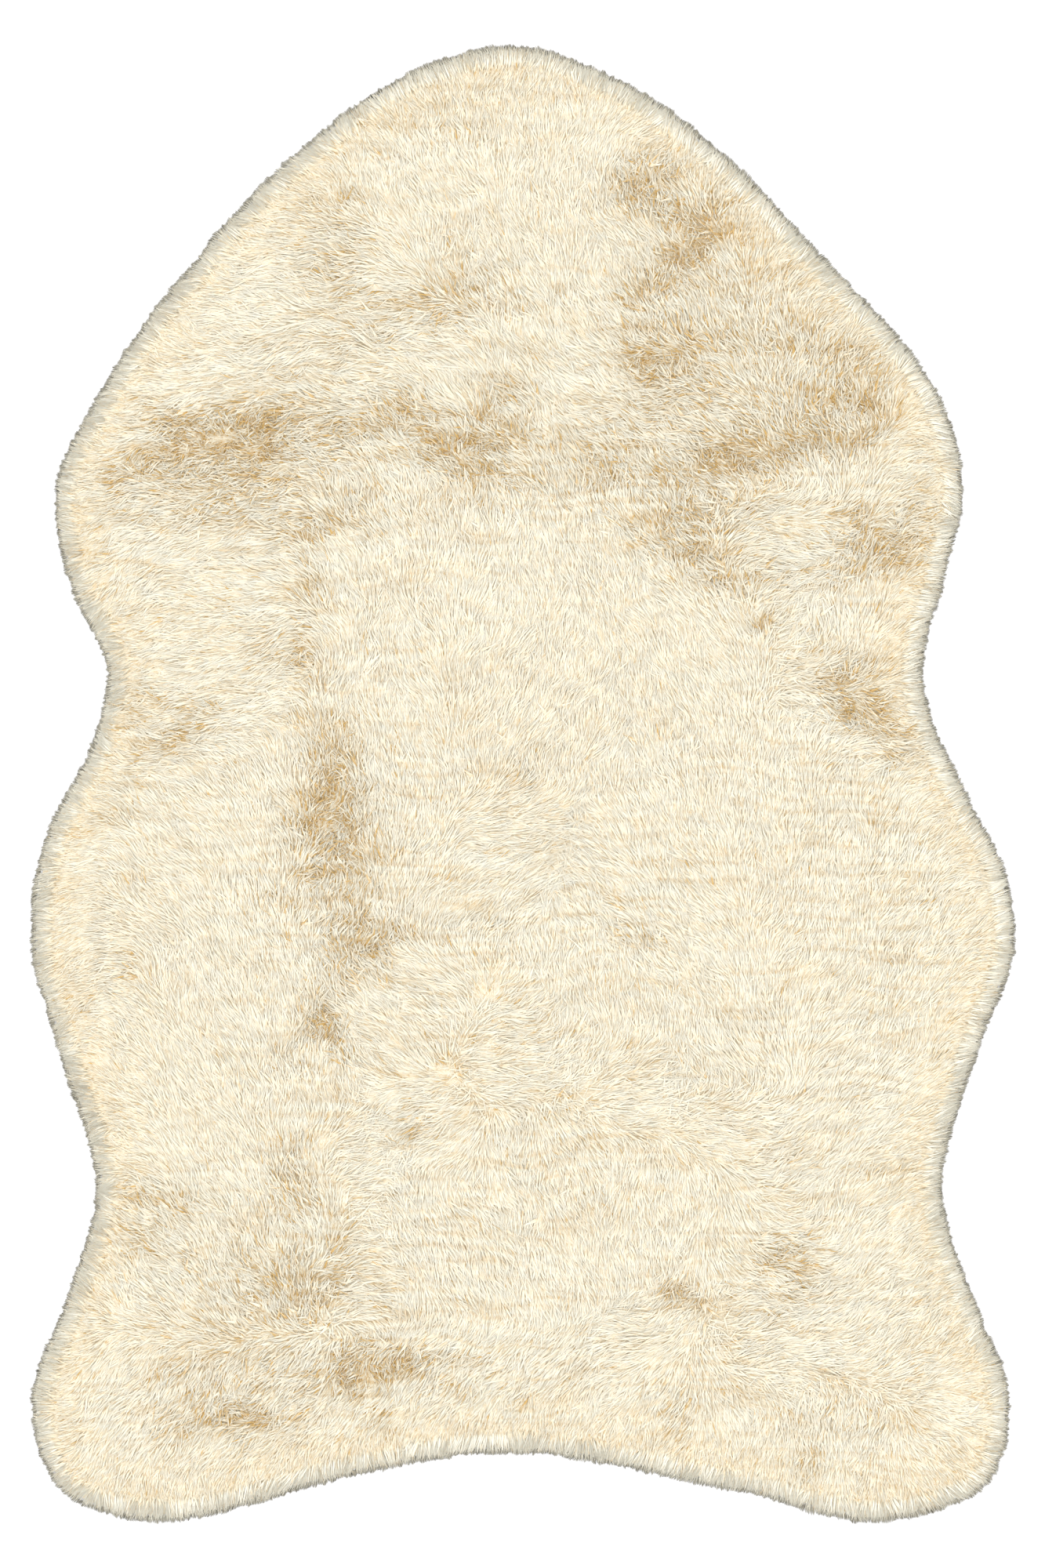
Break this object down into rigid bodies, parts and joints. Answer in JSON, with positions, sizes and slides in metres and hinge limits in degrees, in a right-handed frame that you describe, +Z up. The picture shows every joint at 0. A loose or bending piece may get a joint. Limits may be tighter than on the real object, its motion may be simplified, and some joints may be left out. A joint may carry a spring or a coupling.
{
  "type": "faux fur rug in a sheepskin outline",
  "caption": "Cream faux fur rug cut to the outline of a sheepskin, laid flat with its pile up, as a soft mat to stand, sit or lie on.",
  "frame": {"origin": "the middle of the rug's box, on the floor under it", "axes": "+X across the rug, +Y along it towards the single rounded crown, +Z up out of the pile"},
  "size_m": [0.5986, 0.8986, 0.0241],
  "materials": {
    "fur": "matte"
  },
  "bodies": {
    "root": {"pile_fabric": "fur"}
  },
  "joints": []
}
